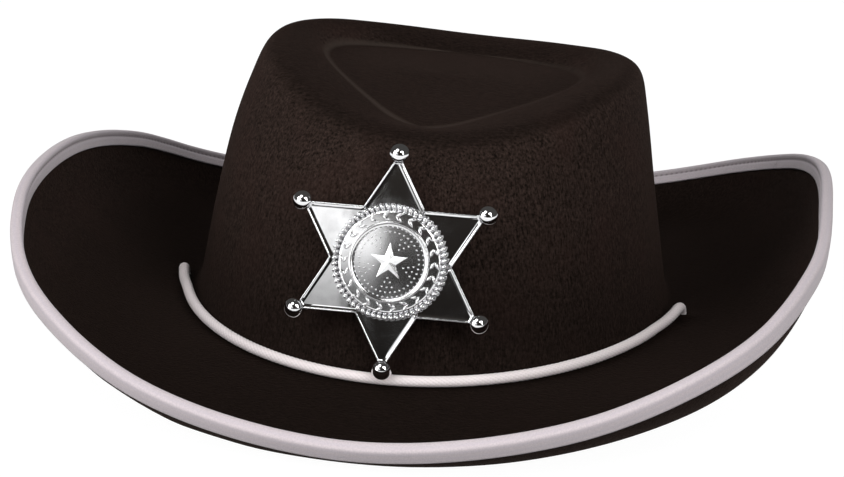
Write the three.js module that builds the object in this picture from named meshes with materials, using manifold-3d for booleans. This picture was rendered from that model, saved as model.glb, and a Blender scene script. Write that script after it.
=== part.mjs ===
// A sheriff hat of moulded felt: a creased crown, a rolled brim bound with white tape, a cord
// that runs round the front of the crown and on as the chin loop, and a six-pointed badge.
// Millimetres, +Z up, the front toward -Y, and the surface that the hat rests on at Z = 0.

import * as THREE from "three";
import { mergeVertices } from "three/addons/utils/BufferGeometryUtils.js";
import Module from "manifold-3d";

const wasm = await Module();
wasm.setup();

// Driving dimensions of the felt
const feltThickness = 1.6;
const headHalfWidth = 83.5;
const headHalfLength = 103;
const crownHeight = 88.6;
const crownSlant = 2.5;
const crownFrontDrop = 9.7;
const crownBackDrop = 6.2;
const brimHalfWidth = 137.5;
const brimHalfLength = 165;
const brimRise = 60;
const lipReach = 30;
const breakHeight = 12.6;
const breakSideLift = 3.6;
const breakRound = 5;

// Driving dimensions of the dent in the crown
const dentHalfWidth = 46;
const dentHalfLength = 57;
const dentDepth = 10;
const dentShiftRight = 1;
const dentShiftFront = 2;
const floorRise = 2;

// Driving dimensions of the binding, the cord and the badge
const bindingWidth = 4.6;
const bindingWall = 1.0;
const cordDiameter = 3.5;
const cordHoleOffset = 6.5;
const cordHoleRound = 86;
const badgeReach = 35.4;
const badgeHeight = 40.2;
const badgeTilt = 14.2;
const badgeStandoff = 3.2;
const ballDiameter = 7;
const plateThickness = 1.6;
const plateBevel = 0.7;
const medallionRadius = 19.4;
const medallionHeight = 2.6;
const reliefStarReach = 7.8;
const bandBarLength = 2.3;
const bandBarWidth = 1;
const pinDiameter = 2.4;
const bossDiameter = 9;
const flangeDiameter = 10;
const flangeThickness = 1;

// Clearances
const gap = 0.3;
const cordHoleClearance = 1.0;
const bossClearance = 0.4;
const flangeClearance = 1.2;

// How finely the round shapes are divided
const stepsAround = 56;
const holeSides = 12;
const discSides = 16;
const cordSides = 8;
const frontCordSteps = 36;
const chinLoopSteps = 50;

// The rim, anticlockwise from the viewer's right: across, along and rise are shares of
// brimHalfWidth, brimHalfLength and brimRise; turn is the slope of the lip in degrees, and
// reach is a share of lipReach that says how far in the lip's curl is felt.
const rimSections = [
  { across: 1.0, along: 0.01, rise: 1.0, turn: 86, reach: 1.0 },
  { across: 0.95, along: 0.425, rise: 0.97, turn: 84, reach: 1.0 },
  { across: 0.786, along: 0.748, rise: 0.742, turn: 78, reach: 1.0 },
  { across: 0.461, along: 0.937, rise: 0.445, turn: 66, reach: 0.95 },
  { across: 0.0, along: 1.0, rise: 0.205, turn: 58, reach: 0.88 },
  { across: -0.458, along: 0.927, rise: 0.26, turn: 60, reach: 0.9 },
  { across: -0.783, along: 0.732, rise: 0.472, turn: 70, reach: 1.0 },
  { across: -0.945, along: 0.411, rise: 0.795, turn: 80, reach: 1.0 },
  { across: -1.0, along: 0.004, rise: 0.985, turn: 86, reach: 1.0 },
  { across: -0.98, along: -0.407, rise: 0.94, turn: 88, reach: 1.0 },
  { across: -0.835, along: -0.737, rise: 0.68, turn: 86, reach: 0.9 },
  { across: -0.49, along: -0.94, rise: 0.345, turn: 70, reach: 0.9 },
  { across: 0.0, along: -1.0, rise: 0.187, turn: 57, reach: 0.88 },
  { across: 0.485, along: -0.942, rise: 0.345, turn: 68, reach: 0.9 },
  { across: 0.84, along: -0.745, rise: 0.665, turn: 90, reach: 1.0 },
  { across: 0.99, along: -0.409, rise: 0.905, turn: 93, reach: 1.05 },
];

// The crown's wall, from the brim up to the ridge round the dent: level is a share of the
// crown's height there, width and length are shares of the head's half sizes, and lean is how
// far the section sits toward the viewer's right, as a share of headHalfWidth.
const crownSections = [
  { level: 0.0, width: 1.0, length: 1.0, lean: 0.0 },
  { level: 0.2, width: 0.966, length: 0.982, lean: 0.0 },
  { level: 0.45, width: 0.922, length: 0.95, lean: 0.0 },
  { level: 0.68, width: 0.877, length: 0.91, lean: 0.008 },
  { level: 0.85, width: 0.832, length: 0.85, lean: 0.026 },
  { level: 0.96, width: 0.795, length: 0.78, lean: 0.037 },
  { level: 1.0, width: 0.73, length: 0.7, lean: 0.03 },
];

// Where the crown's rings lie, counted in rows of crownSections
const crownRings = [0.5, 1.2, 2, 2.8, 3.5, 4.1, 4.6, 5.1, 5.5, 6];

// Shares of the way down into the dent's crease, and from there to the middle of its floor
const dentRings = [0.4, 0.75, 1];
const floorRings = [0.12, 0.4, 0.7];

// Shares of the way from the binding's inner edge to the crown along the brim
const brimRings = [0.12, 0.24, 0.36, 0.48, 0.61, 0.74, 0.87];

// Rounds of halving that find a place on a curve to well under a thousandth of a millimetre
const halvings = 30;

const toRadians = THREE.MathUtils.degToRad;
const lerp = THREE.MathUtils.lerp;

// A closed smooth curve through three columns of a table
function closedCurve(rows, first, second, third) {
  const points = rows.map((row) => new THREE.Vector3(row[first], row[second], row[third]));
  return new THREE.CatmullRomCurve3(points, true, "catmullrom");
}

const rimPlace = closedCurve(rimSections, "across", "along", "rise");
const rimShape = closedCurve(rimSections, "turn", "reach", "reach");

// An angle round the hat as a share of a full turn, from 0 up to 1
function turnShare(angle) {
  return THREE.MathUtils.euclideanModulo(angle / (2 * Math.PI), 1);
}

// The line where the crown meets the brim, a little higher at the sides
function crownBase(angle) {
  return new THREE.Vector3(
    headHalfWidth * Math.cos(angle),
    headHalfLength * Math.sin(angle),
    breakHeight + breakSideLift * Math.cos(angle) ** 2,
  );
}

// The lip at an angle: its edge, and the direction in which the felt runs out to it
function lip(angle) {
  const share = turnShare(angle);
  const place = rimPlace.getPoint(share);
  const shape = rimShape.getPoint(share);
  const rim = new THREE.Vector3(
    brimHalfWidth * place.x,
    brimHalfLength * place.y,
    brimRise * place.z,
  );
  const outward = rim.clone().sub(crownBase(angle)).setZ(0).normalize();
  const turn = toRadians(shape.x);
  const run = outward.clone().multiplyScalar(Math.cos(turn));
  run.z = Math.sin(turn);
  const upward = outward.clone().multiplyScalar(-Math.sin(turn));
  upward.z = Math.cos(turn);
  const edge = rim.clone().addScaledVector(run, -(gap + bindingWall));
  edge.addScaledVector(upward, feltThickness / 2);
  return { edge, run, outward, reach: lipReach * shape.y };
}

// Near the crown the brim runs out and down: how far, as a share of its width, and how
// steeply at the sides and in addition at the front and the back
const brimFall = { reach: 0.38, slope: 0.12, endSlope: 0.1 };

// The brim's upper face: 0 is the crown and 1 is the edge
function brimPoint(angle, share) {
  const base = crownBase(angle);
  const { edge, run, outward, reach } = lip(angle);
  const fallReach = brimFall.reach * Math.hypot(edge.x - base.x, edge.y - base.y);
  const start = base.clone().addScaledVector(outward, fallReach);
  start.z -= (brimFall.slope + brimFall.endSlope * Math.sin(angle) ** 2) * fallReach;
  const end = edge.clone().addScaledVector(run, -reach);
  return new THREE.CubicBezierCurve3(base, start, end, edge).getPoint(share);
}

// How high the ridge round the dent stands over the brim: lower at the front and the back
function ridgeHeight(angle) {
  const toFront = Math.max(0, -Math.sin(angle)) ** 2;
  const toBack = Math.max(0, Math.sin(angle)) ** 2;
  const drop = crownFrontDrop * toFront + crownBackDrop * toBack;
  return crownHeight - drop - crownSlant * Math.cos(angle);
}

// The crown's outer face at a row of crownSections, or between two rows
function crownPoint(angle, row) {
  const last = crownSections.length - 1;
  const low = Math.min(Math.floor(row), last - 1);
  const at = (column) => {
    const value = (index) => crownSections[THREE.MathUtils.clamp(index, 0, last)][column];
    const values = [value(low - 1), value(low), value(low + 1), value(low + 2)];
    return catmullRom(values, row - low);
  };
  const base = crownBase(angle);
  return new THREE.Vector3(
    base.x * at("width") + headHalfWidth * at("lean"),
    base.y * at("length"),
    base.z + ridgeHeight(angle) * at("level"),
  );
}

function catmullRom([before, from, to, after], share) {
  const leave = (to - before) / 2;
  const arrive = (after - from) / 2;
  const square = share * share;
  const cube = square * share;
  return (
    (2 * cube - 3 * square + 1) * from +
    (cube - 2 * square + share) * leave +
    (3 * square - 2 * cube) * to +
    (cube - square) * arrive
  );
}

// The teardrop's outline: how much it tapers to the front, and its greatest width for a half
// width of 1, which the taper makes wider
const dentTaper = 0.45;
const dentWidest = 1.084;

// The dent's depth below the ridge at the front, the sides and the back, as shares of dentDepth
const dentDepths = { front: 0.25, side: 1, back: 0.45 };

// How the wall of the dent rounds over: 1 would be a straight slope
const dentRoundness = 1.7;

// The crease round the floor of the dent: a teardrop with its point at the front
function creasePoint(angle) {
  const ridge = crownPoint(angle, crownSections.length - 1);
  const toSide = Math.cos(angle) ** 2;
  const end = Math.sin(angle) < 0 ? dentDepths.front : dentDepths.back;
  const depth = dentDepth * lerp(end, dentDepths.side, toSide);
  const width = (dentHalfWidth / dentWidest) * (1 + dentTaper * Math.sin(angle));
  return new THREE.Vector3(
    width * Math.cos(angle) + dentShiftRight,
    dentHalfLength * Math.sin(angle) - dentShiftFront,
    ridge.z - depth,
  );
}

// The wall of the dent, rounded over from the ridge: 0 is the ridge and 1 is the crease
function dentPoint(angle, share) {
  const ridge = crownPoint(angle, crownSections.length - 1);
  const crease = creasePoint(angle);
  return new THREE.Vector3(
    lerp(ridge.x, crease.x, share),
    lerp(ridge.y, crease.y, share),
    lerp(ridge.z, crease.z, share ** dentRoundness),
  );
}

const floorMiddle = new THREE.Vector3(
  dentShiftRight,
  dentShiftFront,
  creasePoint(0).z + floorRise,
);

// The dent's floor: 0 is the crease and 1 is the middle
function floorPoint(angle, share) {
  const point = creasePoint(angle).lerp(floorMiddle, share);
  point.z += floorRise * share * (1 - share);
  return point;
}

// The rounded corner between brim and crown: 0 is on the brim and 1 is on the crown's wall
function breakPoint(angle, share) {
  const corner = crownBase(angle);
  const wallSpan = crownPoint(angle, 1).distanceTo(corner);
  const low = brimPoint(angle, brimShareAt(angle, breakRound));
  const high = crownPoint(angle, breakRound / wallSpan);
  return new THREE.QuadraticBezierCurve3(low, corner, high).getPoint(share);
}

// Halves a range of shares until it holds the place where a rising measure reaches a value
function shareWhere(measure, value, highest = 1) {
  let low = 0;
  let high = highest;
  for (let round = 0; round < halvings; round += 1) {
    const middle = (low + high) / 2;
    if (measure(middle) < value) low = middle;
    else high = middle;
  }
  return (low + high) / 2;
}

// The share of the brim at which it lies a given level way out from the crown
function brimShareAt(angle, distance) {
  const base = crownBase(angle);
  const levelWay = (share) => {
    const point = brimPoint(angle, share);
    return Math.hypot(point.x - base.x, point.y - base.y);
  };
  return shareWhere(levelWay, distance);
}

// The share of the brim at which the felt lies a given way in from its edge
function brimShareFromEdge(angle, distance) {
  const edge = brimPoint(angle, 1);
  const wayIn = (share) => brimPoint(angle, 1 - share).distanceTo(edge);
  return 1 - shareWhere(wayIn, distance);
}

// The share of the brim at which its rings begin, just outside the rounded corner
function brimStart(angle) {
  return brimShareAt(angle, breakRound);
}

// The felt's rings from the brim's edge to the dent's floor, each a function of the angle
const feltRings = [
  (angle) => brimPoint(angle, 1),
  (angle) => brimPoint(angle, brimShareFromEdge(angle, bindingWidth / 2)),
  (angle) => brimPoint(angle, brimShareFromEdge(angle, bindingWidth)),
  ...brimRings.map((share) => (angle) => {
    const from = brimShareFromEdge(angle, bindingWidth);
    return brimPoint(angle, lerp(from, brimStart(angle), share));
  }),
  ...[0, 0.5, 1].map((share) => (angle) => breakPoint(angle, share)),
  ...crownRings.map((row) => (angle) => crownPoint(angle, row)),
  ...dentRings.map((share) => (angle) => dentPoint(angle, share)),
  ...floorRings.map((share) => (angle) => floorPoint(angle, share)),
];

const angles = Array.from(
  { length: stepsAround },
  (_, index) => (2 * Math.PI * index) / stepsAround,
);

// The upper and outer face of the felt, ring by ring, and its normals
const outerRings = feltRings.map((ring) => angles.map((angle) => ring(angle)));

function feltNormal(ringIndex, step) {
  const ring = outerRings[ringIndex];
  const around = ring[(step + 1) % stepsAround]
    .clone()
    .sub(ring[(step + stepsAround - 1) % stepsAround]);
  const outer = outerRings[Math.max(ringIndex - 1, 0)][step];
  const inner = outerRings[Math.min(ringIndex + 1, outerRings.length - 1)][step];
  return around.cross(inner.clone().sub(outer)).normalize();
}

const normals = outerRings.map((ring, ringIndex) =>
  ring.map((_, step) => feltNormal(ringIndex, step)),
);

// The felt that would lie below the surface is flattened onto it
function innerFace(point, normal) {
  const inner = point.clone().addScaledVector(normal, -feltThickness);
  if (inner.z < 0) {
    point.z -= inner.z;
    inner.z = 0;
  }
  return inner;
}

const innerRings = outerRings.map((ring, ringIndex) =>
  ring.map((point, step) => innerFace(point, normals[ringIndex][step])),
);

// Geometry with flat triangles from a list of vertices and a list of faces
function facetedGeometry(vertices, faces) {
  const geometry = new THREE.BufferGeometry();
  const positions = new Float32Array(vertices.flatMap((vertex) => vertex.toArray()));
  geometry.setAttribute("position", new THREE.BufferAttribute(positions, 3));
  geometry.setIndex(faces.flat());
  return geometry;
}

// Faces between two closed rings of vertices that start at the given indices
function bandFaces(first, second, count) {
  const faces = [];
  for (let step = 0; step < count; step += 1) {
    const next = (step + 1) % count;
    faces.push([first + step, first + next, second + next]);
    faces.push([first + step, second + next, second + step]);
  }
  return faces;
}

// A solid for cutting and joining, from any closed geometry
function solidFrom(geometry) {
  const bare = geometry.clone();
  bare.deleteAttribute("normal");
  bare.deleteAttribute("uv");
  const merged = mergeVertices(bare, 1e-3);
  return new wasm.Manifold(
    new wasm.Mesh({
      numProp: 3,
      vertProperties: merged.attributes.position.array,
      triVerts: new Uint32Array(merged.index.array),
    }),
  );
}

function geometryFrom(solid) {
  const mesh = solid.getMesh();
  const geometry = new THREE.BufferGeometry();
  geometry.setAttribute("position", new THREE.BufferAttribute(mesh.vertProperties, 3));
  geometry.setIndex(new THREE.BufferAttribute(mesh.triVerts, 1));
  return geometry;
}

// The felt shell before its holes are cut
function feltShell() {
  const ringCount = outerRings.length;
  const innerStart = ringCount * stepsAround;
  const outerMiddle = floorPoint(0, 1);
  const innerMiddle = outerMiddle.clone().setZ(outerMiddle.z - feltThickness);
  const vertices = [...outerRings.flat(), ...innerRings.flat(), outerMiddle, innerMiddle];
  const faces = [];
  for (let ring = 0; ring < ringCount - 1; ring += 1) {
    faces.push(...bandFaces(ring * stepsAround, (ring + 1) * stepsAround, stepsAround));
    const under = innerStart + ring * stepsAround;
    faces.push(...bandFaces(under + stepsAround, under, stepsAround));
  }
  faces.push(...bandFaces(innerStart, 0, stepsAround));
  const lastOuter = (ringCount - 1) * stepsAround;
  const lastInner = innerStart + lastOuter;
  const middle = 2 * ringCount * stepsAround;
  for (let step = 0; step < stepsAround; step += 1) {
    const next = (step + 1) % stepsAround;
    faces.push([lastOuter + step, lastOuter + next, middle]);
    faces.push([lastInner + next, lastInner + step, middle + 1]);
  }
  return facetedGeometry(vertices, faces);
}

// A place over the brim: a level way out from the crown, and a height above the felt there
function overBrim(angle, out, up) {
  const base = crownBase(angle);
  const { outward } = lip(angle);
  const top = brimPoint(angle, brimShareAt(angle, out));
  return new THREE.Vector3(base.x + outward.x * out, base.y + outward.y * out, top.z + up);
}

// Angles round the hat are counted from the front, where the badge sits
const frontAngle = -90;
const fromFront = (degrees) => toRadians(frontAngle + degrees);

// The cord's holes through the brim, just outside the crown at each side
const holePlaces = {
  right: overBrim(fromFront(cordHoleRound), cordHoleOffset, 0),
  left: overBrim(fromFront(-cordHoleRound), cordHoleOffset, 0),
};

// A closed round bar between two heights, standing along Z
function bar(radius, bottom, top, sides) {
  const geometry = new THREE.CylinderGeometry(radius, radius, top - bottom, sides);
  geometry.rotateX(Math.PI / 2);
  geometry.translate(0, 0, (top + bottom) / 2);
  return geometry;
}

// The badge's own frame: X to the viewer's right, Y up the crown, Z out of the plate's back
const badgeFrame = new THREE.Group();

function crownFrontAt(height) {
  const front = fromFront(0);
  const level = (row) => crownPoint(front, row).z;
  return crownPoint(front, shareWhere(level, height, crownSections.length - 1));
}

badgeFrame.rotation.x = Math.PI / 2 - toRadians(badgeTilt);
badgeFrame.position.copy(crownFrontAt(breakHeight + badgeHeight));
badgeFrame.translateZ(badgeStandoff);
badgeFrame.updateMatrixWorld(true);

// A cutter for a hole whose flat sides keep its radius, well past both faces of the felt
function holeCutter(radius) {
  const reach = 3 * feltThickness;
  return bar(radius / Math.cos(Math.PI / holeSides), -reach, reach, holeSides);
}

// The pin's hole goes through the felt along the badge's own axis
function pinHole() {
  const geometry = holeCutter(pinDiameter / 2 + gap);
  geometry.translate(0, 0, -badgeStandoff);
  return geometry.applyMatrix4(badgeFrame.matrixWorld);
}

function cordHole(place) {
  const geometry = holeCutter((cordDiameter + cordHoleClearance) / 2);
  return geometry.translate(place.x, place.y, place.z);
}

const hatSolid = solidFrom(feltShell())
  .subtract(solidFrom(cordHole(holePlaces.right)))
  .subtract(solidFrom(cordHole(holePlaces.left)))
  .subtract(solidFrom(pinHole()));

// The fold past the felt's edge, as shares of the binding's wall and gap: its two shoulders, off
// each face and out past the edge, and its crest
const bindingFold = { off: 0.6, past: 0.8, crest: 1.1 };

// The binding follows both faces of the felt, and meets past its edge in a rounded fold
function bindingSection(step) {
  const { run } = lip(angles[step]);
  const past = (rings, ring, side, off, beyond) =>
    rings[ring][step]
      .clone()
      .addScaledVector(normals[ring][step], side * off)
      .addScaledVector(run, beyond);
  const above = (ring, off, beyond = 0) => past(outerRings, ring, 1, off, beyond);
  const below = (ring, off, beyond = 0) => past(innerRings, ring, -1, off, beyond);
  const middle = outerRings[0][step].clone().lerp(innerRings[0][step], 0.5);
  const far = gap + bindingWall;
  return [
    above(2, far),
    above(1, far),
    above(0, far),
    above(0, bindingFold.off * far, bindingFold.past * far),
    middle.addScaledVector(run, bindingFold.crest * far),
    below(0, bindingFold.off * far, bindingFold.past * far),
    below(0, far),
    below(1, far),
    below(2, far),
    below(2, gap),
    below(1, gap),
    below(0, gap, gap),
    above(0, gap, gap),
    above(1, gap),
    above(2, gap),
  ];
}

function bindingGeometry() {
  const sections = angles.map((_, step) => bindingSection(step));
  const corners = sections[0].length;
  const faces = [];
  for (let step = 0; step < stepsAround; step += 1) {
    const here = step * corners;
    const next = ((step + 1) % stepsAround) * corners;
    faces.push(...bandFaces(here, next, corners));
  }
  return facetedGeometry(sections.flat(), faces);
}

// A cord: a round bar with flat sides along a smooth curve through its points
function cordGeometry(points, steps) {
  const radius = cordDiameter / 2;
  const outline = Array.from({ length: cordSides }, (_, index) => {
    const angle = (2 * Math.PI * index) / cordSides;
    return new THREE.Vector2(radius * Math.cos(angle), radius * Math.sin(angle));
  });
  const path = new THREE.CatmullRomCurve3(points, false, "centripetal");
  return new THREE.ExtrudeGeometry(new THREE.Shape(outline), { steps, extrudePath: path });
}

// The held stretch of the cord, half of it: how far round the hat from the front in degrees, how
// far out from the crown's wall, and how far the cord's middle stands over the brim
const frontCordRoute = [
  { round: 0, out: 3.4, up: 2.75 },
  { round: 9, out: 3.4, up: 2.75 },
  { round: 18, out: 3.4, up: 2.75 },
  { round: 27, out: 3.4, up: 2.75 },
  { round: 36, out: 3.4, up: 2.75 },
  { round: 45, out: 3.4, up: 2.75 },
  { round: 54, out: 3.4, up: 2.75 },
  { round: 63, out: 3.5, up: 2.75 },
  { round: 71, out: 3.8, up: 3.0 },
  { round: 76.5, out: 4.5, up: 4.0 },
  { round: 81.5, out: 5.9, up: 5.6 },
  { round: 85.2, out: 6.6, up: 4.9 },
  { round: cordHoleRound, out: cordHoleOffset, up: 2.0 },
];

// Where the cord's two stretches meet: in the middle of the felt's thickness, inside each hole
function inHole(place, side) {
  return place.clone().setZ(place.z - feltThickness / 2 + (side * gap) / 2);
}

function frontCordPoints() {
  const right = frontCordRoute.map(({ round, out, up }) => overBrim(fromFront(round), out, up));
  const left = frontCordRoute
    .slice(1)
    .map(({ round, out, up }) => overBrim(fromFront(-round), out, up));
  return [inHole(holePlaces.left, 1), ...left.reverse(), ...right, inHole(holePlaces.right, 1)];
}

// The chin loop's route on the surface under the hat, chosen by hand: one side, from the hole
// at the viewer's right to the middle of the back; the other side mirrors it
const chinRoute = [
  { x: 90.0, y: -5.5, z: 9 },
  { x: 91.3, y: 1.5, z: 3.8 },
  { x: 94, y: 11, z: 1.9 },
  { x: 98.5, y: 24, z: 1.9 },
  { x: 101, y: 38, z: 1.9 },
  { x: 100.5, y: 53, z: 1.9 },
  { x: 95, y: 69, z: 1.9 },
  { x: 84, y: 83, z: 1.9 },
  { x: 67, y: 93.5, z: 1.9 },
  { x: 47, y: 100, z: 1.9 },
  { x: 24, y: 103.5, z: 1.9 },
  { x: 0, y: 104.5, z: 1.9 },
];

function chinLoopPoints() {
  const right = chinRoute.map(({ x, y, z }) => new THREE.Vector3(x, y, z));
  const left = chinRoute.slice(0, -1).map(({ x, y, z }) => new THREE.Vector3(-x, y, z));
  const straightDown = 2 * feltThickness;
  const below = (place) => place.clone().setZ(place.z - straightDown);
  return [
    inHole(holePlaces.right, -1),
    below(holePlaces.right),
    ...right,
    ...left.reverse(),
    below(holePlaces.left),
    inHole(holePlaces.left, -1),
  ];
}

// The star plate: two crossed triangles with bevelled edges, and a ball on each tip
function starGeometry() {
  const tipAngles = Array.from({ length: 6 }, (_, index) => toRadians(30 + 60 * index));
  const hollowReach = badgeReach / Math.sqrt(3);
  const polar = (reach, angle) =>
    new THREE.Vector2(reach * Math.cos(angle), reach * Math.sin(angle));
  const outline = tipAngles.flatMap((angle) => [
    polar(badgeReach, angle),
    polar(hollowReach, angle + Math.PI / 6),
  ]);
  const plate = new THREE.ExtrudeGeometry(new THREE.Shape(outline), {
    depth: plateThickness - plateBevel,
    bevelThickness: plateBevel / 2,
    bevelSize: plateBevel,
    bevelOffset: -plateBevel,
    bevelSegments: 1,
  });
  plate.translate(0, 0, plateBevel / 2);
  let solid = solidFrom(plate);
  for (const angle of tipAngles) {
    const ball = new THREE.SphereGeometry(ballDiameter / 2, 8, 6);
    const tip = polar(badgeReach, angle);
    ball.translate(tip.x, tip.y, plateThickness / 2);
    solid = solid.add(solidFrom(ball));
  }
  return geometryFrom(solid);
}

// The medallion's turned profile: shares of its radius and its height
const medallionProfile = [
  { out: 0, up: 0 },
  { out: 0.94, up: 0 },
  { out: 0.985, up: 0.35 },
  { out: 1, up: 0.7 },
  { out: 0.965, up: 1 },
  { out: 0.91, up: 1 },
  { out: 0.87, up: 0.68 },
  { out: 0.69, up: 0.68 },
  { out: 0.675, up: 0.9 },
  { out: 0.645, up: 0.9 },
  { out: 0.63, up: 0.6 },
  { out: 0, up: 0.6 },
];

// The rope border's notches: how far every second section sinks and draws in, as shares of the
// medallion's height and radius, and the part of the profile that is rope
const ropeNotch = { sink: 0.12, drawIn: 0.015, outFrom: 0.9, upFrom: 0.3 };

// The medallion's disc, with its rope border notched at every second section
function medallionDisc() {
  const sections = 48;
  const profile = medallionProfile.map(
    ({ out, up }) => new THREE.Vector2(out * medallionRadius, up * medallionHeight),
  );
  const geometry = new THREE.LatheGeometry(profile, sections);
  geometry.rotateX(Math.PI / 2);
  const position = geometry.attributes.position;
  const point = new THREE.Vector3();
  for (let index = 0; index < position.count; index += 1) {
    const section = Math.floor(index / profile.length);
    const { out, up } = medallionProfile[index % profile.length];
    if (out > ropeNotch.outFrom && up > ropeNotch.upFrom && section % 2 === 1) {
      point.fromBufferAttribute(position, index);
      const height = point.z - ropeNotch.sink * medallionHeight;
      point.multiplyScalar(1 - ropeNotch.drawIn).setZ(height);
      position.setXYZ(index, ...point);
    }
  }
  return geometry;
}

// Where the relief starts inside the disc, and how high its parts rise, as shares of its height
const reliefLevels = { root: 0.4, starTop: 1.05, barTop: 0.9 };

// A five-pointed star in relief for the middle, each point rising to a ridge
function reliefStar() {
  const points = 5;
  const waist = 0.42;
  const bottom = reliefLevels.root * medallionHeight;
  const top = reliefLevels.starTop * medallionHeight;
  const vertices = [];
  for (let index = 0; index < 2 * points; index += 1) {
    const angle = Math.PI / 2 + (Math.PI * index) / points;
    const out = index % 2 === 0 ? reliefStarReach : waist * reliefStarReach;
    vertices.push(new THREE.Vector3(out * Math.cos(angle), out * Math.sin(angle), bottom));
  }
  vertices.push(new THREE.Vector3(0, 0, top), new THREE.Vector3(0, 0, bottom));
  const count = 2 * points;
  const faces = [];
  for (let index = 0; index < count; index += 1) {
    const next = (index + 1) % count;
    faces.push([index, next, count], [next, index, count + 1]);
  }
  return facetedGeometry(vertices, faces);
}

// A short raised bar in the band between rope and inner ring
function bandBar(angle) {
  const bandMiddle = 0.78 * medallionRadius;
  const bottom = reliefLevels.root * medallionHeight;
  const top = reliefLevels.barTop * medallionHeight;
  const geometry = new THREE.BoxGeometry(bandBarLength, bandBarWidth, top - bottom);
  geometry.translate(bandMiddle, 0, (top + bottom) / 2);
  return geometry.rotateZ(angle);
}

function medallionGeometry() {
  const bars = 16;
  let solid = solidFrom(medallionDisc()).add(solidFrom(reliefStar()));
  for (let index = 0; index < bars; index += 1) {
    const angle = (2 * Math.PI * (index + 0.5)) / bars;
    solid = solid.add(solidFrom(bandBar(angle)));
  }
  return geometryFrom(solid);
}

// The hidden pin: a boss behind the plate, a post through the felt and a flange inside
function pinGeometry() {
  const bossBack = bossClearance - badgeStandoff;
  const flangeFront = -badgeStandoff - feltThickness - flangeClearance;
  const flangeBack = flangeFront - flangeThickness;
  const boss = solidFrom(bar(bossDiameter / 2, bossBack, -gap, discSides));
  const post = solidFrom(bar(pinDiameter / 2, flangeBack, -gap, holeSides));
  const flange = solidFrom(bar(flangeDiameter / 2, flangeBack, flangeFront, discSides));
  return geometryFrom(boss.add(post).add(flange));
}

const felt = new THREE.MeshStandardMaterial({ color: 0x1c1713, roughness: 0.95, metalness: 0 });
const tape = new THREE.MeshStandardMaterial({ color: 0xe4dade, roughness: 0.8, metalness: 0 });
const cordYarn = new THREE.MeshStandardMaterial({ color: 0xe1d7d9, roughness: 0.85, metalness: 0 });
const chrome = new THREE.MeshStandardMaterial({ color: 0xd8d8da, roughness: 0.12, metalness: 1 });

function piece(name, geometry, material) {
  const mesh = new THREE.Mesh(geometry, material);
  mesh.name = name;
  return mesh;
}

const medallion = piece("badge_medallion", medallionGeometry(), chrome);
medallion.position.z = plateThickness + gap;
badgeFrame.add(piece("badge_star", starGeometry(), chrome));
badgeFrame.add(medallion);
badgeFrame.add(piece("badge_pin", pinGeometry(), chrome));

const frontCord = cordGeometry(frontCordPoints(), frontCordSteps);
const chinLoop = cordGeometry(chinLoopPoints(), chinLoopSteps);

const hat = new THREE.Group();
hat.add(piece("hat_body", geometryFrom(hatSolid), felt));
hat.add(piece("brim_binding", bindingGeometry(), tape));
hat.add(piece("front_cord", frontCord, cordYarn));
hat.add(piece("chin_loop", chinLoop, cordYarn));
hat.add(badgeFrame);

export default hat;
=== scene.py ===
# The looks of a sheriff hat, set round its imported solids: moulded felt, stitched tape, braided
# cord and a chromed star badge. Metres, +Z up, the front toward -Y.
import math

import bmesh
import bpy
import numpy as np
from mathutils import Matrix, Vector, noise
from mathutils.bvhtree import BVHTree


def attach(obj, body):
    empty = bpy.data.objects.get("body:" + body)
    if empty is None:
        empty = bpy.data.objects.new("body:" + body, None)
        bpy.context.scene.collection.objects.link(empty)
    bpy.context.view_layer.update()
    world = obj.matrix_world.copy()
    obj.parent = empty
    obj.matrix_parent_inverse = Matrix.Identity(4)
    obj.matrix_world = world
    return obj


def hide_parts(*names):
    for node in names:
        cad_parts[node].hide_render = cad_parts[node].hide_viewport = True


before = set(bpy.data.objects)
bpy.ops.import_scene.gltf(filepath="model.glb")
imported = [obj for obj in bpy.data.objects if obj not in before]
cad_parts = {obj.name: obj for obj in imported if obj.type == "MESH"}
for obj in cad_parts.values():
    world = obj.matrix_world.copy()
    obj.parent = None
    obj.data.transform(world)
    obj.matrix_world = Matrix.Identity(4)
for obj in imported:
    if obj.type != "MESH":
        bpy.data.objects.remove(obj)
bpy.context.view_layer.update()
scene = bpy.context.scene

MM = 0.001

# Camera, fitted to the photograph's view of the brim, the crown and the badge
camera_azimuth = math.radians(8.66)
camera_elevation = math.radians(15.32)
camera_roll = math.radians(2.65)
camera_distance = 1.2018
camera_target = Vector((-0.0064, 0.0079, 0.0319))
camera_lens = 142.16
camera_sensor = 36

# Tape: its stitched groove, counted along its face from the fold at the brim's edge
tape_sections = 560
tape_outer_places = 41
tape_inner_places = 9
tape_roll_width = 3.1 * MM
tape_roll_height = 0.22 * MM
groove_place = 3.65 * MM
groove_width = 0.6 * MM
groove_depth = 0.75 * MM
stitch_pitch = 2.4 * MM
rib_pitch = 0.75 * MM
smooth_front = -110 * MM
fully_stitched = -30 * MM
least_stitched = 0.12
tape_band_pitch = 2.6 * MM

# Cord: a round braid
cord_diameter = 3.5 * MM
braid_strands = 8
braid_pitch = 1.8 * MM
braid_depth = 0.28 * MM
samples_per_pitch = 6
samples_per_strand = 4

# Front cord's holes: how much lower the cord arches before each, and the felt's puckers, with
# the X, Y and height of each
arch_starts = 2 * MM, 8 * MM
arch_ends = 15 * MM, 34 * MM
right_arch_drop = 1.3 * MM
left_arch_drop = 2.9 * MM
pucker_reach = 5 * MM
puckers = ((89.6 * MM, -9 * MM, 1.8 * MM), (-89.6 * MM, -9 * MM, 0.4 * MM))

# Dent in the crown: the pressed crease round its floor
dent_half_width = 46 * MM
dent_half_length = 57 * MM
dent_middle = Vector((1 * MM, -2 * MM))
dent_taper = 0.45
dent_widest = 1.084
dent_lowest = 70 * MM
crease_tolerance = 1.2 * MM
crease_sharpness = 0.25

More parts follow.
